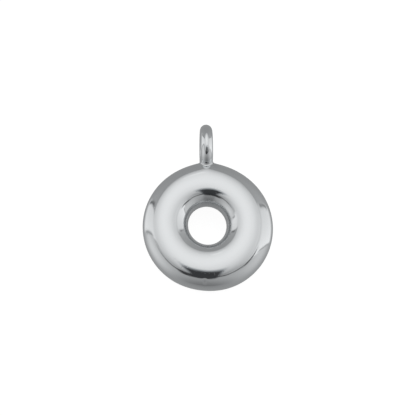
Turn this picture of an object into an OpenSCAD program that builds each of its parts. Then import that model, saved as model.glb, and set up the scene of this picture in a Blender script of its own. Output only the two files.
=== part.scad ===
// Letter O charm: a puffed ring of solid metal with a round wire bail soldered to its rim.
// Bail and ring are one soldered piece, and the charm lies on its back with the front up.
// Before it is laid down, the ring is centred on the origin, its front faces +Z and the
// bail stands at +Y. Millimetres throughout.

/* [Ring] */
// Diameter across the rim of the ring
ring_d = 12; // [10:0.5:16]
// Width of the metal from the rim to the hole
band_w = 4.2; // [3.4:0.1:4.6]
// Thickness of the ring from back to front
band_t = 3; // [2.6:0.1:3.2]
// Radius of the rim's arc, as a share of half the thickness
rim_round = 0.93; // [0.75:0.01:0.97]

/* [Bail] */
// Outer diameter of the wire ring
bail_d = 4.6; // [4:0.1:6]
// Thickness of its wire
wire_d = 1.15; // [0.9:0.05:1.4]
// How deep the bail sits in the rim
bail_sink = 0.65; // [0.5:0.05:0.9]

/* [Solder] */
// Width of the solder across the wire
solder_w = 1.9; // [1.6:0.1:2.2]
// Length of the solder from back to front
solder_l = 2.2; // [1.8:0.1:2.4]
// Height of the solder above the rim
solder_h = 0.35; // [0.2:0.05:0.4]

/* [Hidden] */
$fn = 96;
silver = [0.72, 0.73, 0.74];

// The section of the ring is an oval of four arcs that run into each other: the round
// rim, the round wall of the hole, and a flat arch each for the front and the back
centre_r = (ring_d - band_w) / 2;
half_w = band_w / 2;
half_t = band_t / 2;
rim_r = rim_round * half_t;
// Distance of the rim arc's centre from the middle of the section
rim_off = half_w - rim_r;
// An arch of this radius touches the rim arcs and is as high as the ring is thick
arch_r = (rim_off ^ 2 + half_t ^ 2 - rim_r ^ 2) / (2 * (half_t - rim_r));
arch_off = arch_r - half_t;
// Half the width of the arch, up to where it meets the rim arcs
arch_half_w = rim_off * arch_r / (arch_r - rim_r);

wire_r = wire_d / 2;
bail_r = bail_d / 2 - wire_r;
bail_y = ring_d / 2 - bail_sink + bail_d / 2;

// The bail reaches further back than the ring, so the charm rests on the back of the bail
// and on the arch at the far side of the ring. One plane touches both where
//   reach * sin(lie) - arch_off * cos(lie) = bail_d / 2 - arch_r
reach = bail_y + centre_r;
lie = asin((bail_d / 2 - arch_r) / sqrt(reach ^ 2 + arch_off ^ 2)) + atan2(arch_off, reach);

// Where the plane lies under the laid charm, and how far it reaches along Y
lie_z = bail_y * sin(lie) - bail_d / 2;
top_y = bail_y * cos(lie) + bail_d / 2;
foot_y = -(centre_r + rim_off) * cos(lie) - rim_r;

module ring_section() {
    intersection() {
        translate([0, arch_off]) circle(arch_r, $fn = 2 * $fn);
        translate([0, -arch_off]) circle(arch_r, $fn = 2 * $fn);
        square([2 * arch_half_w, band_t], center = true);
    }
    for (side = [-1, 1]) translate([side * rim_off, 0]) circle(rim_r);
}

module ring() {
    rotate_extrude($fn = 2 * $fn) translate([centre_r, 0]) ring_section();
}

module bail() {
    translate([0, bail_y, 0]) rotate([0, 90, 0])
        rotate_extrude() translate([bail_r, 0]) circle(wire_r);
}

// A low mound of solder that fills the corner between the wire and the rim
module solder() {
    translate([0, ring_d / 2 - solder_h, 0])
        scale([solder_w / 2, 2 * solder_h, solder_l / 2]) sphere(1);
}

// Ring, bail and solder as one piece, laid on its back with its middle over the origin
module letter_charm() {
    color(silver) translate([0, -(top_y + foot_y) / 2, -lie_z]) rotate([lie, 0, 0]) {
        ring();
        bail();
        solder();
    }
}

letter_charm();
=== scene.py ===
# %% [markdown]
# # A polished letter O charm
#
# This notebook dresses a small metal charm: a puffed ring in the shape of the letter O, with
# a bail of round wire soldered to its rim. The real one is cast, soldered and then polished
# to a mirror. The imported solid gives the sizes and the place. Here each surface is made
# again in finer mesh, because a mirror shows every facet.

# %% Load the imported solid
from math import atan2, cos, exp, hypot, pi, radians, sin, tan

import bmesh
import bpy
from mathutils import Matrix, Vector


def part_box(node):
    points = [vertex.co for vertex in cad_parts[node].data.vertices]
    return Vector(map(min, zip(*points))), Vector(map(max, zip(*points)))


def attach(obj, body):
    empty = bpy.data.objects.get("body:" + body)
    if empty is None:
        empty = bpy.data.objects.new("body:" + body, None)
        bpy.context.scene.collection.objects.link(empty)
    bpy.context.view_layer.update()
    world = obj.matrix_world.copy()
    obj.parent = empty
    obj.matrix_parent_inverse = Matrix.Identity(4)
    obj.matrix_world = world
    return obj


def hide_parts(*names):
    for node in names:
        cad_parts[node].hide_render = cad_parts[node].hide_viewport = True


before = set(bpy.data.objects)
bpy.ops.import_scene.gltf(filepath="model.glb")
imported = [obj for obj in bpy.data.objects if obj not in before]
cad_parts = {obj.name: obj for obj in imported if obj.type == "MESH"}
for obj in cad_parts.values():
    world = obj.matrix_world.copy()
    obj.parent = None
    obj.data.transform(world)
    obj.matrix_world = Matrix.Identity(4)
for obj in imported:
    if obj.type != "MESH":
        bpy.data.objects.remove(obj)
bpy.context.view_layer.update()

MM = 0.001

# %% [markdown]
# ## Sizes
#
# Blender works in metres and a charm is measured in millimetres, so every size is a number
# times `MM`. The few sizes of the solid come first, and the rest is worked out from them.

# %% Sizes of the charm
RING_D = 12.0 * MM
BAND_W = 4.2 * MM
BAND_T = 3.0 * MM
BAIL_D = 4.6 * MM
WIRE_D = 1.15 * MM
BAIL_SINK = 0.65 * MM

CENTRE_R = (RING_D - BAND_W) / 2
HALF_W = BAND_W / 2
HALF_T = BAND_T / 2
WIRE_R = WIRE_D / 2
BAIL_R = BAIL_D / 2 - WIRE_R
BAIL_Y = RING_D / 2 - BAIL_SINK + BAIL_D / 2
print("the bail's centre stands", round(BAIL_Y / MM, 2), "mm above the ring's")

# %% [markdown]
# ## The section of the ring
#
# Cut through, the ring is an oval 4.2 mm wide and 3 mm thick. A caster would file it from
# four arcs, and where two arcs meet a mirror shows a kink in every reflection. A wave of
# three turns added to a plain ellipse gives the same full shape with no such joint, so the
# oval is one formula. `FULLNESS` is how far the corners are pushed out.

# %% The oval as a formula
FULLNESS = 0.014
FULL_W = FULLNESS * HALF_W
FULL_T = FULLNESS * HALF_T


def oval(angle):
    """How far across and how far up the oval runs at an angle from its outer side."""
    across = (HALF_W + FULL_W) * cos(angle) - FULL_W * cos(3 * angle)
    up = (HALF_T + FULL_T) * sin(angle) + FULL_T * sin(3 * angle)
    return across, up


corner = oval(pi / 4)
print("halfway round, the oval is at", [round(c / MM, 3) for c in corner], "mm")

# %% [markdown]
# A ring that is cast, filed and polished by hand is never the same all round. This one is a
# touch longer one way than the other and a touch fuller at its lower right. Its rim is drawn
# up towards the bail, where the caster left metal for the solder, by three tenths of a
# millimetre at the wire. At the foot, where the sprue was cut off, the rim is filed a little
# flat. The hole stands a little high and is a little taller than wide.

# %% The section at a place on the ring
OUT_OF_ROUND = 0.0066
LONG_WAY = radians(113)
SWELL = 0.022
SWELL_SIDE = radians(-52)
DRAWN_UP = 0.2 * MM
DRAWN_WIDTH = 0.043
BOSS_UP = 0.1 * MM
BOSS_WIDTH = 0.005
FILED_OFF = 0.055 * MM
FILED_PLACE = radians(-98)
FILED_WIDTH = 0.06
HOLE_WIDER = 0.02 * MM
HOLE_HIGHER = 0.055 * MM
HOLE_TALLER = 0.037 * MM


def section(turn, angle):
    """Distance from the ring's axis and height, at a turn round the ring and an oval angle."""
    across, up = oval(angle)
    size = 1 + SWELL * cos(turn - SWELL_SIDE)
    centre = CENTRE_R * (1 + OUT_OF_ROUND * cos(2 * (turn - LONG_WAY)))
    if across > 0:
        past_top = 1 - sin(turn)
        past_foot = 1 - cos(turn - FILED_PLACE)
        extra = DRAWN_UP / (1 + past_top / DRAWN_WIDTH) + BOSS_UP * exp(-past_top / BOSS_WIDTH)
        extra -= FILED_OFF * exp(-past_foot / FILED_WIDTH)
    else:
        extra = HOLE_TALLER * cos(2 * turn) - HOLE_HIGHER * sin(turn) - HOLE_WIDER
    return centre + across * (size + extra / HALF_W), up * size


print("rim at the bail", round(section(pi / 2, 0)[0] / MM, 3), "mm out, at the foot",
      round(section(-pi / 2, 0)[0] / MM, 3), "mm out")

# %% [markdown]
# ## How the charm lies
#
# The bail reaches further back than the ring, so on a table the charm leans on the back of
# the bail and on the far side of the ring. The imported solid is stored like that. Everything
# here is modelled upright about the ring's own centre, which is simpler, and one matrix lays
# it down. The angle is found by halving a range until the foot of the ring just touches.

# %% Lay the charm down
OVAL_STEPS = 160
STEEPEST = radians(20)
HALVINGS = 40


def foot_height(lean):
    """Height of the ring's lowest point when the bail already touches the table."""
    lift = BAIL_D / 2 - BAIL_Y * sin(lean)
    heights = []
    for step in range(OVAL_STEPS):
        reach, up = section(-pi / 2, 2 * pi * step / OVAL_STEPS)
        heights.append(up * cos(lean) - reach * sin(lean))
    return lift + min(heights)


low_lean, high_lean = 0.0, STEEPEST
for halving in range(HALVINGS):
    lean = (low_lean + high_lean) / 2
    if foot_height(lean) > 0:
        low_lean = lean
    else:
        high_lean = lean

solid_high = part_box("letter_charm")[1]
bail_place = Vector((0, solid_high.y - BAIL_D / 2, BAIL_D / 2))
lie_down = Matrix.Rotation(lean, 4, "X")
laid = Matrix.Translation(bail_place - lie_down @ Vector((0, BAIL_Y, 0))) @ lie_down
ring_centre = laid.translation
print("the charm leans", round(lean * 180 / pi, 2), "degrees, ring centre at",
      [round(c / MM, 3) for c in ring_centre])

# %% [markdown]
# ## From a bmesh to a piece
#
# Each shape is built in a bmesh, which is Blender's mesh while it is being edited. A spin can
# leave its faces looking inwards, so the normals are recalculated at the end. The object
# stays at the origin and its place goes into the mesh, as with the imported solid.

# %% Helper that finishes a piece
def finish_piece(name, shape):
    """Turns a bmesh into a smooth object that is laid down with the charm."""
    bmesh.ops.recalc_face_normals(shape, faces=shape.faces)
    shape.transform(laid)
    for face in shape.faces:
        face.smooth = True
    mesh = bpy.data.meshes.new(name)
    shape.to_mesh(mesh)
    shape.free()
    piece = bpy.data.objects.new(name, mesh)
    bpy.context.scene.collection.objects.link(piece)
    print(name, "has", len(mesh.polygons), "faces")
    return piece


# %% [markdown]
# ## The ring
#
# A ring is a lathe job. In Blender that is a spin: the oval is drawn once and turned round
# the axis of the ring. Then each point is moved to the section of its own turn. The steps
# are fine, because the reflections of a mirror bend at every edge that is too long.

# %% Spin the ring
RING_STEPS = 384
MERGE_DIST = 0.001 * MM

ring_shape = bmesh.new()
angle_on_oval = ring_shape.verts.layers.float.new("angle_on_oval")
bmesh.ops.create_circle(ring_shape, segments=OVAL_STEPS, radius=1)
for vert in ring_shape.verts:
    vert[angle_on_oval] = atan2(vert.co.y, vert.co.x)
    across, up = oval(vert[angle_on_oval])
    vert.co = Vector((CENTRE_R + across, 0, up))
bmesh.ops.spin(
    ring_shape, geom=ring_shape.verts[:] + ring_shape.edges[:], cent=(0, 0, 0),
    axis=(0, 0, 1), angle=2 * pi, steps=RING_STEPS, use_merge=True,
)
bmesh.ops.remove_doubles(ring_shape, verts=ring_shape.verts, dist=MERGE_DIST)
for vert in ring_shape.verts:
    turn = atan2(vert.co.y, vert.co.x)
    reach, up = section(turn, vert[angle_on_oval])
    vert.co = Vector((reach * cos(turn), reach * sin(turn), up))
print("the ring has", len(ring_shape.faces), "faces")

# %% [markdown]
# ## The bail
#
# The bail is a closed ring of round wire. It is spun the same way, about an axis that runs
# through its eye from side to side. Its lower part sits inside the rim, where the solder
# holds it. The wire was bent by hand, and just above the rim it runs a little straighter and
# then turns in. So after the spin it is moved there, by a few hundredths of a millimetre.

# %% Spin the bail
WIRE_STEPS = 72
BAIL_STEPS = 192
BEND = 0.08 * MM
BEND_PLACE = radians(50)
BEND_WIDTH = radians(18)


def bail_r(below):
    """Distance of the wire's middle from the eye's centre, at an angle below the horizontal."""
    before = (BEND_PLACE - below) / BEND_WIDTH
    return BAIL_R + BEND * before * exp(-before ** 2)


bail_shape = bmesh.new()
bmesh.ops.create_circle(bail_shape, segments=WIRE_STEPS, radius=WIRE_R)
bmesh.ops.translate(bail_shape, verts=bail_shape.verts, vec=(0, BAIL_Y + BAIL_R, 0))
bmesh.ops.spin(
    bail_shape, geom=bail_shape.verts[:] + bail_shape.edges[:], cent=(0, BAIL_Y, 0),
    axis=(1, 0, 0), angle=2 * pi, steps=BAIL_STEPS, use_merge=True,
)
bmesh.ops.remove_doubles(bail_shape, verts=bail_shape.verts, dist=MERGE_DIST)
for vert in bail_shape.verts:
    below = atan2(BAIL_Y - vert.co.y, abs(vert.co.z))
    spoke = Vector((0, vert.co.y - BAIL_Y, vert.co.z)).normalized()
    vert.co += spoke * (bail_r(below) - BAIL_R)
print("the bail has", len(bail_shape.faces), "faces")

# %% [markdown]
# ## The solder
#
# Molten solder is drawn into the corner between wire and rim and leaves a small hollow
# curve there. A ball rolled round the seam would leave the same curve: where it touches the
# wire and where it touches the rim are the edges of the solder, and its own surface is the
# hollow between them. So the first step is to find, for a point near the seam, how far the
# wire and the rim are, and in which direction. Neither has a formula for its nearest point,
# so that is searched for: of a stretch of the curve, the worse outer third is cut off again
# and again.

# %% Distance to the wire
WIRE_SEARCH = 1e-7


def nearest(gap, first, last, close_enough):
    """The angle between first and last at which a gap is smallest."""
    while last - first > close_enough:
        third = (last - first) / 3
        if gap(first + third) < gap(last - third):
            last -= third
        else:
            first += third
    return first


def from_wire(point):
    """Distance from the wire's surface, and the direction straight away from it."""
    side = 1 if point.z > 0 else -1

    def from_core(below):
        core_z = side * bail_r(below) * cos(below)
        return point - Vector((0, BAIL_Y - bail_r(below) * sin(below), core_z))

    below = nearest(lambda angle: from_core(angle).length, radians(20), radians(90), WIRE_SEARCH)
    away = from_core(below)
    return away.length - WIRE_R, away.normalized()


test = Vector((0, RING_D / 2, HALF_T))
print("test point:", round(from_wire(test)[0] / MM, 3), "mm from the wire")

# %% [markdown]
# The rim is searched in the cut through the ring at the point's own turn. The rim also rises
# and falls along the turn, most of all near the bail. So the straight way to it leans back
# along the turn by that slope, and is a little shorter than within the cut.

# %% Distance to the rim
RIM_SEARCH = 1e-8
TURN_STEP = 0.001


def from_rim(point):
    """Distance from the outer side of the ring, and the direction straight away from it."""
    turn = atan2(point.y, point.x)
    outwards = Vector((cos(turn), sin(turn), 0))
    sideways = Vector((-sin(turn), cos(turn), 0))

    def gap(angle):
        reach, up = section(turn, angle)
        return hypot(point.dot(outwards) - reach, point.z - up)

    angle = nearest(gap, -pi / 2, pi / 2, RIM_SEARCH)
    reach, up = section(turn, angle)
    way = (outwards * (point.dot(outwards) - reach) + Vector((0, 0, point.z - up))).normalized()
    rise = section(turn + TURN_STEP, angle)[0] - section(turn - TURN_STEP, angle)[0]
    climb = rise / (2 * TURN_STEP * reach)
    away = way - sideways * climb * way.dot(outwards)
    return gap(angle) / away.length, away.normalized()


print("test point:", round(from_rim(test)[0] / MM, 3), "mm from the rim")

# %% [markdown]
# The ball is rolled by a loop. It starts near the seam, and each pass moves it along the two
# directions until it is one ball radius away from both surfaces. Most solder has gathered at
# the two sides of the wire, some in front and behind, and least in between, so the ball
# changes its size on the way round.

# %% Roll a ball round the seam
SOLDER_R = 0.16 * MM
SOLDER_SIDE_R = 0.5 * MM
SOLDER_FRONT_R = 0.22 * MM
SEAM_STEPS = 144
START_ASIDE = 0.8 * MM
START_ABOVE = 0.3 * MM
START_AHEAD = 1.2 * MM
PASSES = 15


def roll_ball(turn):
    """Centre and radius of the ball that touches both the wire and the rim at this turn."""
    ball_r = SOLDER_R + (SOLDER_SIDE_R - SOLDER_R) * cos(turn) ** 4
    ball_r += (SOLDER_FRONT_R - SOLDER_R) * sin(turn) ** 8
    centre = Vector((cos(turn) * START_ASIDE, RING_D / 2 + START_ABOVE, sin(turn) * START_AHEAD))
    for ball_pass in range(PASSES):
        wire_gap, wire_way = from_wire(centre)
        rim_gap, rim_way = from_rim(centre)
        lean_of_ways = wire_way.dot(rim_way)
        wire_miss, rim_miss = ball_r - wire_gap, ball_r - rim_gap
        spread = 1 - lean_of_ways ** 2
        along_wire = (wire_miss - lean_of_ways * rim_miss) / spread
        along_rim = (rim_miss - lean_of_ways * wire_miss) / spread
        centre = centre + wire_way * along_wire + rim_way * along_rim
    return centre, ball_r


seam = [roll_ball(2 * pi * step / SEAM_STEPS) for step in range(SEAM_STEPS)]
print("the ball stays", round(min(centre.y for centre, ball_r in seam) / MM, 3), "to",
      round(max(centre.y for centre, ball_r in seam) / MM, 3), "mm up the charm")

# %% [markdown]
# The solder itself is a collar round the seam, a closed tube in which only the hollow side
# shows. One loop of edges starts inside the wire. It is extruded again and again: out of
# the wire, down the hollow from touch to touch, and into the rim. Then the first and last
# loops are bridged inside the metal. Just past each touch a short skirt dips under the
# surface, so that the light runs on from one piece to the other without a line.

# %% Extrude the collar of solder
HOLLOW_STEPS = 24
SKIRT = 0.02 * MM
DIP = 0.0006 * MM
ROOT = 0.12 * MM


def collar_points(centre, ball_r):
    """The points of one cut through the solder, from inside the wire to inside the rim."""
    to_wire = -from_wire(centre)[1]
    to_rim = -from_rim(centre)[1]
    opening = to_wire.angle(to_rim)
    past_wire = (to_wire * cos(opening) - to_rim).normalized()
    past_rim = (to_rim * cos(opening) - to_wire).normalized()
    hollow = [centre + ball_r * to_wire.slerp(to_rim, step / HOLLOW_STEPS)
              for step in range(HOLLOW_STEPS + 1)]
    wire_skirt = hollow[0] + past_wire * SKIRT + to_wire * DIP
    rim_skirt = hollow[-1] + past_rim * SKIRT + to_rim * DIP
    return [wire_skirt + to_wire * ROOT, wire_skirt, *hollow, rim_skirt, rim_skirt + to_rim * ROOT]


cuts = [collar_points(centre, ball_r) for centre, ball_r in seam]
solder_shape = bmesh.new()
place_on_seam = solder_shape.verts.layers.int.new("place_on_seam")
loop = bmesh.ops.create_circle(solder_shape, segments=SEAM_STEPS, radius=1)["verts"]
for place, vert in enumerate(loop):
    vert[place_on_seam] = place
    vert.co = cuts[place][0]
first_edges = solder_shape.edges[:]
edges = first_edges
for level in range(1, len(cuts[0])):
    grown = bmesh.ops.extrude_edge_only(solder_shape, edges=edges)["geom"]
    edges = [item for item in grown if isinstance(item, bmesh.types.BMEdge)]
    edges = [edge for edge in edges if edge.is_boundary]
    for item in grown:
        if isinstance(item, bmesh.types.BMVert):
            item.co = cuts[item[place_on_seam]][level]
bmesh.ops.bridge_loops(solder_shape, edges=first_edges + edges)
print("the solder is open on", sum(edge.is_boundary for edge in solder_shape.edges), "edges")

# %% [markdown]
# The three shapes pass into each other inside the metal, as the cast ring, the wire and the
# solder do. So each can stay a simple closed shape, and none has to be cut to fit.

# %% Finish the three shapes
ring = finish_piece("ring", ring_shape)
bail = finish_piece("bail", bail_shape)
solder = finish_piece("solder", solder_shape)

# %% [markdown]
# ## A shorthand for shader nodes
#
# A finish is a graph of nodes, and a graph written node by node is hard to read. This class
# wraps the output of a node. Arithmetic on it adds Math nodes, so that a mask reads as a
# formula, and `node` adds any other node. A `blend` mixes two colours by a mask.

# %% The shorthand
class Signal:
    """The output of a node, or a bare node tree that new nodes are added to."""

    def __init__(self, tree, socket=None):
        self.tree = tree
        self.socket = socket

    def node(self, kind, settings=None, inputs=None, output=0):
        """Adds a node, makes its settings, then fills or links its sockets."""
        made = self.tree.nodes.new(kind)
        for setting, value in (settings or {}).items():
            setattr(made, setting, value)
        for slot, value in (inputs or {}).items():
            if isinstance(value, Signal):
                self.tree.links.new(value.socket, made.inputs[slot])
            else:
                made.inputs[slot].default_value = value
        return Signal(self.tree, made.outputs[output] if made.outputs else None)

    def math(self, operation, *values):
        """Adds a Math node, with this many of its values filled or linked."""
        return self.node("ShaderNodeMath", {"operation": operation}, dict(enumerate(values)))

    def vector(self, operation, inputs, output="Vector"):
        """Adds a Vector Math node."""
        return self.node("ShaderNodeVectorMath", {"operation": operation}, inputs, output)

    def ease(self, start, end):
        """0 before start and 1 after end, with a smooth step between them."""
        settings = {"interpolation_type": "SMOOTHSTEP"}
        inputs = {"Value": self, "From Min": start, "From Max": end}
        return self.node("ShaderNodeMapRange", settings, inputs)

    def blend(self, first, second):
        """The first colour where the mask is 0, and the second where it is 1."""
        inputs = {"Factor": self, "A": first, "B": second}
        return self.node("ShaderNodeMix", {"data_type": "RGBA"}, inputs, "Result")

    def __add__(self, other):
        return self.math("ADD", self, other)

    def __sub__(self, other):
        return self.math("SUBTRACT", self, other)

    def __rsub__(self, other):
        return self.math("SUBTRACT", other, self)

    def __mul__(self, other):
        return self.math("MULTIPLY", self, other)

    def __truediv__(self, other):
        return self.math("DIVIDE", self, other)

    def __pow__(self, other):
        return self.math("POWER", self, other)

    __radd__ = __add__
    __rmul__ = __mul__


# %% [markdown]
# ## The polish
#
# The metal is a cool grey that takes a mirror polish. A mirror has no pattern of its own, so
# what tells real metal from a computer's is what the hand and the wheel leave behind. Most of
# it follows the way that the piece was turned. So the first step is to find each point's
# place on the upright charm, and its place about the axis of its piece.

# %% Find a place on the charm
def upright_place(tree):
    """Each point's place on the upright charm, in metres from the ring's centre."""
    back = laid.inverted()
    return tree.node("ShaderNodeMapping", {"vector_type": "POINT"}, {
        "Vector": tree.node("ShaderNodeTexCoord", output="Object"),
        "Location": back.translation, "Rotation": back.to_euler()})


def place_about(spot, centre, axis):
    """The height along an axis, the direction out from it and the distance out from it."""
    arm = spot.vector("SUBTRACT", {0: spot, 1: centre})
    height = spot.vector("DOT_PRODUCT", {0: arm, 1: axis}, "Value")
    spoke = spot.vector("SUBTRACT", {0: arm, 1: spot.vector("SCALE", {0: axis, "Scale": height})})
    outwards = spot.vector("NORMALIZE", {0: spoke})
    reach = spot.vector("LENGTH", {0: spoke}, "Value")
    return height, outwards, reach


def sizes_from(spot, middle, size):
    """Distance from a middle, counted in a size that differs across, up and to the front."""
    step = spot.vector("SUBTRACT", {0: spot, 1: middle})
    return spot.vector("LENGTH", {0: spot.vector("DIVIDE", {0: step, 1: size})}, "Value")


# %% [markdown]
# There are faint dents that make a reflection swim, shallow rings and hairlines that run
# round the piece, a few pits that the casting left, and on the foot of the rim a small scar
# where the sprue was. All of them are height, so they feed one bump. Their heights are real
# ones, in millimetres. Rings and hairlines are noise that is drawn out: it changes slowly
# with the direction out from the axis, and fast with the height and the distance.

# %% Marks in the surface
DENT_HEIGHT = 0.008
RING_HEIGHT = 0.004
HAIR_HEIGHT = 0.0006
PIT_DEPTH = 0.0014
SCAR_DEPTH = 0.03
SCAR_PLACE = Vector((-0.4, -5.5, 1.06)) * MM
SCAR_SIZE = Vector((0.16, 0.2667, 0.2667)) * MM


def grain(spot, lumps, detail):
    """Plain noise with so many lumps in a metre."""
    return spot.node("ShaderNodeTexNoise", None, {"Vector": spot, "Scale": lumps, "Detail": detail})


def turned_marks(place, axis, lumps, width, detail):
    """Noise drawn out round an axis, with a few lumps to the turn and a width in metres."""
    height, outwards, reach = place
    drawn_out = outwards.vector("ADD", {
        0: outwards.vector("SCALE", {0: outwards, "Scale": lumps}),
        1: outwards.vector("SCALE", {0: axis, "Scale": reach / width})})
    return outwards.node("ShaderNodeTexNoise", {"noise_dimensions": "4D"}, {
        "Vector": drawn_out, "W": height / width, "Scale": 1, "Detail": detail})


def marked(spot, place, axis):
    """The way that the surface faces, tilted by all its marks."""
    dents = grain(spot, lumps=700, detail=1)
    rings = turned_marks(place, axis, lumps=1.5, width=0.35 * MM, detail=1)
    hairs = turned_marks(place, axis, lumps=4, width=0.05 * MM, detail=2)
    pits = grain(spot, lumps=6000, detail=1).ease(0.64, 0.74)
    scar_sizes = sizes_from(spot, SCAR_PLACE, SCAR_SIZE)
    scar = spot.math("EXPONENT", scar_sizes * scar_sizes * -1)
    height = DENT_HEIGHT * dents + RING_HEIGHT * rings + HAIR_HEIGHT * hairs
    height = height - PIT_DEPTH * pits - SCAR_DEPTH * scar
    return spot.node("ShaderNodeBump", None, {"Height": height, "Distance": MM})


print("the scar is", round(SCAR_PLACE.xy.length / MM, 2), "mm from the ring's axis")

# %% [markdown]
# No wheel reaches everywhere. Round the joint the metal is dull in smudges, and the solder
# itself is left rough. The wall of the hole is rough as well, and its upper side is painted
# darker as painted shade. A faint dark patch on the slope above it is a painted dark
# reflection. Each of these is a mask that moves the colour and the roughness from those of
# the clean mirror.

# %% Places that the wheel left dull, and painted shade in the hole
METAL = (0.724, 0.740, 0.750, 1)
# The dull grey is metal that the wheel left dull round the joint, and painted shade on the hole's
# upper wall.
DULL_AND_SHADED_METAL = (0.58, 0.595, 0.605, 1)
# The darkest grey, at the place and size below, is a painted dark reflection on the slope above the
# hole.
DARK_REFLECTION_METAL = (0.54, 0.552, 0.56, 1)
JOINT = Vector((0, RING_D / 2, 0))
DARK_REFLECTION_PLACE = Vector((0.16, 2.46, 1.10)) * MM
DARK_REFLECTION_SIZE = Vector((0.75, 0.6, 0.6)) * MM
BORE_R = 2.15 * MM
MIRROR_ROUGHNESS = 0.045


def dull_joint(spot, smudges):
    """The dull smudges round the joint: their mask."""
    from_joint = spot.vector("DISTANCE", {0: spot, 1: JOINT}, "Value")
    return (1 - from_joint.ease(1.0 * MM, 1.9 * MM)) * smudges.ease(0.3, 0.7)


def bore_shade_and_rough(spot, place, smudges):
    """Painted shade on the hole's upper wall, unpolished metal there, and a painted dark
    reflection: masks.
    """
    reach = place[2]
    # The upper side of the hole's wall is painted darker, as painted shade.
    upwards = spot.vector("DOT_PRODUCT", {0: spot, 1: (0, 1, 0)}, "Value")
    upper_side = upwards.ease(-1.5 * MM, 0)
    upper_bore_shade = (1 - reach.ease(BORE_R - 0.1 * MM, BORE_R + 0.1 * MM)) * upper_side
    unreached = 1 - reach.ease(BORE_R, BORE_R + 0.25 * MM)
    # A painted dark reflection on the slope above the hole, broken up by the smudges.
    dark_reflection_sizes = sizes_from(spot, DARK_REFLECTION_PLACE, DARK_REFLECTION_SIZE)
    dark_reflection = (1 - (dark_reflection_sizes + 0.8 * smudges).ease(1.0, 1.5)) * smudges.ease(0.1, 0.6)
    return upper_bore_shade, unreached, dark_reflection


print("clean metal", METAL[:3], "and dull metal", DULL_AND_SHADED_METAL[:3])

# %% [markdown]
# The three pieces share one polish. They differ only in the axis that the marks run round:
# the ring's own, the one through the bail's eye, and the one up the charm for the solder.

# %% Mix the polished metal
def polish(name, centre, axis, has_bore=False, left_rough=0):
    """A mirror polish with marks that run round an axis."""
    material = bpy.data.materials.new(name)
    material.use_nodes = True
    material.node_tree.nodes.clear()
    start = Signal(material.node_tree)
    spot = upright_place(start)
    place = place_about(spot, centre, axis)

    smudges = grain(spot, lumps=500, detail=4)
    dull = dull_joint(spot, smudges)
    colour = dull.blend(METAL, DULL_AND_SHADED_METAL)
    roughness = MIRROR_ROUGHNESS + left_rough + 0.03 * smudges + 0.06 * dull
    if has_bore:
        upper_bore_shade, unreached, dark_reflection = bore_shade_and_rough(spot, place, smudges)
        # The hole's upper wall and the slope above it are painted darker: painted shade and a
        # painted dark reflection.
        colour = dark_reflection.blend(upper_bore_shade.blend(colour, DULL_AND_SHADED_METAL), DARK_REFLECTION_METAL)
        roughness = roughness + 0.2 * unreached + 0.04 * dark_reflection

    surface = start.node("ShaderNodeBsdfPrincipled", None, {
        "Base Color": colour, "Metallic": 1, "Roughness": roughness,
        "Normal": marked(spot, place, axis)})
    start.node("ShaderNodeOutputMaterial", None, {"Surface": surface})
    print(name, "uses", len(material.node_tree.nodes), "nodes")
    return material


ring_polish = polish("ring polish", Vector((0, 0, 0)), Vector((0, 0, 1)), has_bore=True)
bail_polish = polish("bail polish", Vector((0, BAIL_Y, 0)), Vector((1, 0, 0)))
solder_polish = polish("solder polish", JOINT, Vector((0, 1, 0)), left_rough=0.24)
ring.data.materials.append(ring_polish)
bail.data.materials.append(bail_polish)
solder.data.materials.append(solder_polish)

# %% [markdown]
# ## The camera
#
# The photograph looks at the front of the ring from a little below and from the left. With
# no turn at all the camera would look straight down on the face, so three small turns set it
# up. Its distance and lens give the perspective.

# %% Set up the camera
VIEW_LEFT = radians(2.64)
VIEW_BELOW = radians(17.72)
VIEW_ROLL = radians(1.16)
VIEW_DISTANCE = 78.2 * MM
RING_IN_VIEW = Vector((-0.035, -1.70, 0)) * MM
LENS = 73.6

turned = Matrix.Rotation(-VIEW_LEFT, 4, "Y") @ Matrix.Rotation(VIEW_BELOW, 4, "X")
turned = laid @ turned @ Matrix.Rotation(-VIEW_ROLL, 4, "Z")
camera_data = bpy.data.cameras.new("camera")
camera_data.lens = LENS
camera_data.clip_start = 1 * MM
camera = bpy.data.objects.new("camera", camera_data)
camera.matrix_world = turned @ Matrix.Translation(Vector((0, 0, VIEW_DISTANCE)) - RING_IN_VIEW)
bpy.context.scene.collection.objects.link(camera)
bpy.context.scene.camera = camera
studio = turned.to_3x3()
print("the camera stands at", [round(c / MM, 1) for c in camera.matrix_world.translation], "mm")

# %% [markdown]
# ## The light tent
#
# A mirror shows its surroundings and little else, so such a charm is photographed in a
# tent of white cloth. Most of the tent is a dim grey. A large lit sheet hangs in front of
# the charm, above the lens, with a lit panel on each side, and the lens looks in through a
# dark opening. All of it is far away compared with a charm, so it is painted on the world,
# by direction. Each direction is given in degrees: how far it lies to the right of the lens
# and how far above it.

# %% Measure along a direction
world = bpy.data.worlds.new("light tent")
bpy.context.scene.world = world
world.use_nodes = True
world.node_tree.nodes.clear()
tent = Signal(world.node_tree)
ray = tent.node("ShaderNodeTexCoord", output="Generated")


def turned_to(across, up):
    """The camera's three directions, turned so many degrees to the right and upwards."""
    turn = Matrix.Rotation(radians(across), 3, "Y") @ Matrix.Rotation(-radians(up), 3, "X")
    return studio @ turn


def towards(across, up):
    """The direction that lies so many degrees to the right of the lens and above it."""
    return turned_to(across, up).col[2]


def along(direction):
    """How far each ray runs along a direction, from -1 to 1."""
    return tent.vector("DOT_PRODUCT", {0: ray, 1: direction}, "Value")


print("the lens lies towards", [round(c, 2) for c in towards(0, 0)])

# %% [markdown]
# Seen from the charm, the straight edge of a card is a plane through the charm. A lit panel is
# what lies on the inner side of all its edges, and each edge has a softness of its own. The
# dark tube of a panel's frame follows such a plane as well, as a line that fades at its ends.

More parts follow.
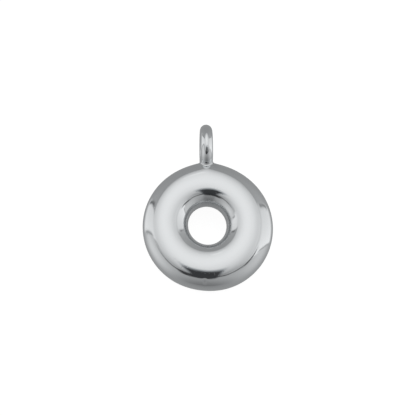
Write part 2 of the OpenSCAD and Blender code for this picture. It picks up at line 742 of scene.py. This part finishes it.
# %% Panels and frame tubes
def inside(plane, soft):
    """The side that a plane through the charm faces, with a soft edge: its mask."""
    return along(plane).ease(-sin(radians(soft)), sin(radians(soft)))


def panel(corners, softness):
    """A card with straight edges: its mask.

    The corners run anticlockwise, and each softness is for the edge that starts at its corner.
    """
    mask = 1
    for index, soft in enumerate(softness):
        start, end = corners[index], corners[(index + 1) % len(corners)]
        mask = mask * inside(towards(*start).cross(towards(*end)).normalized(), soft)
    return mask


def tube(start, end, width, fade=6):
    """A thin tube between two corners: its mask."""
    plane = towards(*start).cross(towards(*end)).normalized()
    off = along(plane) / sin(radians(width))
    ends = inside(plane.cross(towards(*start)), fade) * inside(towards(*end).cross(plane), fade)
    return tent.math("EXPONENT", off * off * -1) * ends


# %% [markdown]
# The large sheet in front is round, and the foot of the opening is a rounded oblong. Each is
# a card that is measured from its middle. A power tells the two apart: 2 makes an ellipse,
# and a higher one fills out its corners. Light that falls on the cloth from outside is a
# patch with no edge.

# %% Rounded cards and patches of light
NEAR_ZERO = 0.001


def card(across, up, turn, half_w, half_h, edge, power, slant=0):
    """A rounded card seen at these angles in degrees: its mask, and the place on it."""
    way = turned_to(across, up) @ Matrix.Rotation(radians(turn), 3, "Z")
    depth = along(way.col[2])
    safe_depth = depth.math("MAXIMUM", depth, NEAR_ZERO)
    x = along(way.col[0]) / safe_depth
    y = along(way.col[1]) / safe_depth + x * slant
    x = x / tan(radians(half_w))
    y = y / tan(radians(half_h))
    size = (x.math("ABSOLUTE", x) ** power + y.math("ABSOLUTE", y) ** power) ** (1 / power)
    soft = tan(radians(edge)) / tan(radians(half_h))
    mask = (1 - size.ease(1 - soft, 1 + soft)) * depth.math("GREATER_THAN", depth, NEAR_ZERO)
    return mask, x, y


def glow(across, up, half_w, half_h):
    """A soft patch of light that has no edge."""
    way = turned_to(across, up)
    x = tent.math("ARCTAN2", along(way.col[0]), along(way.col[2])) / radians(half_w)
    y = tent.math("ARCSINE", along(way.col[1])) / radians(half_h)
    return tent.math("EXPONENT", (x * x + y * y) * -1)


# %% [markdown]
# The cards are laid over each other from back to front. Each one covers what is behind it
# by its mask, so the brightness is moved from the old value to the card's own. The dim cloth
# comes first, lighter at both sides and darker under the charm. Over it hang the two side
# panels, which are brighter towards the foot, each with a dark tube above and below.

# %% The cloth and the side panels
CLOTH = 0.355


def hang(light, mask, level):
    """Covers what was there by a mask with a new brightness."""
    return light + mask * (level - light)


higher = along(studio.col[1])
left_glow = glow(across=-72, up=-4, half_w=42, half_h=37)
right_glow = glow(across=71, up=-5, half_w=47, half_h=45)
shade_below = glow(across=1, up=-65, half_w=39, half_h=28)
light = CLOTH + 0.45 * left_glow + 0.35 * right_glow - 0.12 * shade_below

left_panel = panel([(-42, 35), (-122, 30), (-114, 3), (-36, 16)], softness=[2, 15, 2, 10])
left_top_tube = tube((-60, 41), (-116, 29), width=2)
left_low_tube = tube((-50, 17.5), (-98, 5.5), width=1.8)
light = hang(light, left_panel, 1.06 - 0.35 * higher)
light = hang(light, left_top_tube, 0.16)
light = hang(light, left_low_tube, 0.4)

right_panel = panel([(36, 2.5), (115, -6.5), (122, 22), (48, 42)], softness=[2, 15, 2, 10])
right_top_tube = tube((58, 41), (110, 27), width=2)
right_low_tube = tube((53, 2.5), (122, -8), width=1.6)
light = hang(light, right_panel, 1.08 - 0.4 * higher)
light = hang(light, right_top_tube, 0.3)
light = hang(light, right_low_tube, 0.46)
print("the cloth and the panels use", len(world.node_tree.nodes), "nodes")

# %% [markdown]
# The sheet in front is lit from behind. It is brightest in its upper middle and dimmer all
# round, which a sum of powers of the place on it can follow: the single ones lean it to one
# side, and the squares dim it towards its edges. A short bright crease crosses it high up,
# and a dark fold crosses the floor of the tent.

# %% The front sheet
sheet, x, y = card(across=0, up=32, turn=-1.5, half_w=36.5, half_h=45.3, edge=1.5, power=2)
xx, yy = x * x, y * y
sheet_level = 1.022 - 0.06 * x + 0.18 * y + 0.09 * xx * x - 0.21 * xx * y + 0.2 * xx * yy
sheet_level = sheet_level - 0.68 * xx + 0.52 * xx * xx - 0.87 * yy + 0.22 * yy * yy
crease = tube((-16, 60), (2, 62), width=2.4, fade=3)
floor_fold = tube((-50, -63), (40, -65), width=3, fade=10)
light = hang(light, sheet, sheet_level)
light = light + 0.14 * crease
light = light - 0.05 * floor_fold
print("with the sheet it is", len(world.node_tree.nodes), "nodes")

# %% [markdown]
# A thin dark hoop holds the sheet at its lower edge, and a short part of it is thicker. On
# the world a hoop is all that lies at one angle from its middle, between two ends. The
# opening under it shows the unlit room behind the lens. It widens towards its foot, and to
# its right there is a narrow gap in the cloth.

# %% The hoop and the opening
HOOP_MIDDLE = towards(1, 29)
HOOP_R = radians(46)
HOOP_WIDTH = radians(1.7)
DARK = 0.05

off_hoop = (tent.math("ARCCOSINE", along(HOOP_MIDDLE)) - HOOP_R) / HOOP_WIDTH
hoop = tent.math("EXPONENT", off_hoop * off_hoop * -1)
sideways = tent.math("ARCTAN2", along(studio.col[0]), along(studio.col[2]))
right_of_start = sideways.ease(radians(-48), radians(-33))
left_of_end = 1 - sideways.ease(radians(29), radians(39))
low_part = higher.math("LESS_THAN", higher, 0.5)
thick_hoop = tube((9, -14.5), (21, -13.5), width=3, fade=4)
light = hang(light, hoop * (right_of_start * left_of_end * low_part), DARK)
light = hang(light, thick_hoop, 0.1)

opening = panel([(13.5, 9), (-12, 10.8), (-10.5, -20.5), (11, -22)], softness=[7, 3, 2, 2.5])
opening_foot = card(
    across=-9.5, up=-17.5, turn=10, half_w=14, half_h=6.9, edge=2.5, power=6, slant=0.38)[0]
side_gap = card(across=40, up=1, turn=-28, half_w=3.2, half_h=10, edge=6, power=2)[0]
light = hang(light, opening, DARK)
light = hang(light, opening_foot, DARK)
light = hang(light, side_gap, 0.11)
print("the tent is", len(world.node_tree.nodes), "nodes")

# %% [markdown]
# The charm is photographed on pure white, so a ray from the lens that goes past the charm
# and the table sees white. The metal sees the tent. Its light is neutral where it is bright
# and a little blue where it is dim, most of all in the opening.

# %% Light the world
WHITE = (1, 1, 1, 1)
DIM_TONE = (0.955, 1, 1.045, 1)

backdrop = tent.node("ShaderNodeLightPath", output="Is Camera Ray")
brightness = light + backdrop * (1 - light)
dimness = (opening + 0.25 * (1 - light)) * (1 - backdrop)
tone = dimness.blend(WHITE, DIM_TONE)
shine = tent.node("ShaderNodeBackground", None, {"Color": tone, "Strength": brightness})
tent.node("ShaderNodeOutputWorld", None, {"Surface": shine})
print("the whole world uses", len(world.node_tree.nodes), "nodes")

# %% [markdown]
# ## The table
#
# The charm lies on a plain pale table. In the photograph the ground is pure white, so most
# of its brightness is its own glow, and the rest is lit by the tent and takes a faint
# shadow. The metal doesn't see it, because the real charm hangs clear of its backdrop. The
# Standard view transform keeps this white as it is.

# %% Make the table
TABLE_R = 0.4
TABLE_EDGES = 96
TABLE_GREY = 0.22
TABLE_GLOW = 0.92

table_shape = bmesh.new()
bmesh.ops.create_circle(table_shape, cap_ends=True, segments=TABLE_EDGES, radius=TABLE_R)
table_mesh = bpy.data.meshes.new("table")
table_shape.to_mesh(table_mesh)
table_shape.free()
table = bpy.data.objects.new("table", table_mesh)
bpy.context.scene.collection.objects.link(table)
table.visible_glossy = False

paint = bpy.data.materials.new("pale table")
paint.use_nodes = True
paint.node_tree.nodes.clear()
top = Signal(paint.node_tree)
matt = top.node("ShaderNodeBsdfDiffuse", None, {"Color": (TABLE_GREY, TABLE_GREY, TABLE_GREY, 1)})
own_glow = top.node("ShaderNodeEmission", None, {"Strength": TABLE_GLOW})
both = top.node("ShaderNodeAddShader", None, {0: matt, 1: own_glow})
top.node("ShaderNodeOutputMaterial", None, {"Surface": both})
table.data.materials.append(paint)

bpy.context.scene.view_settings.view_transform = "Standard"
print("the table is", TABLE_R * 2, "m across")

# %% [markdown]
# ## Tie the pieces to the solid
#
# The charm has no moving part, so everything rides on the one body, `root`. The three
# pieces stand for the one imported solid, which is hidden.

# %% Ride and replace
for piece in (ring, bail, solder):
    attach(piece, "root")
    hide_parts("letter_charm")
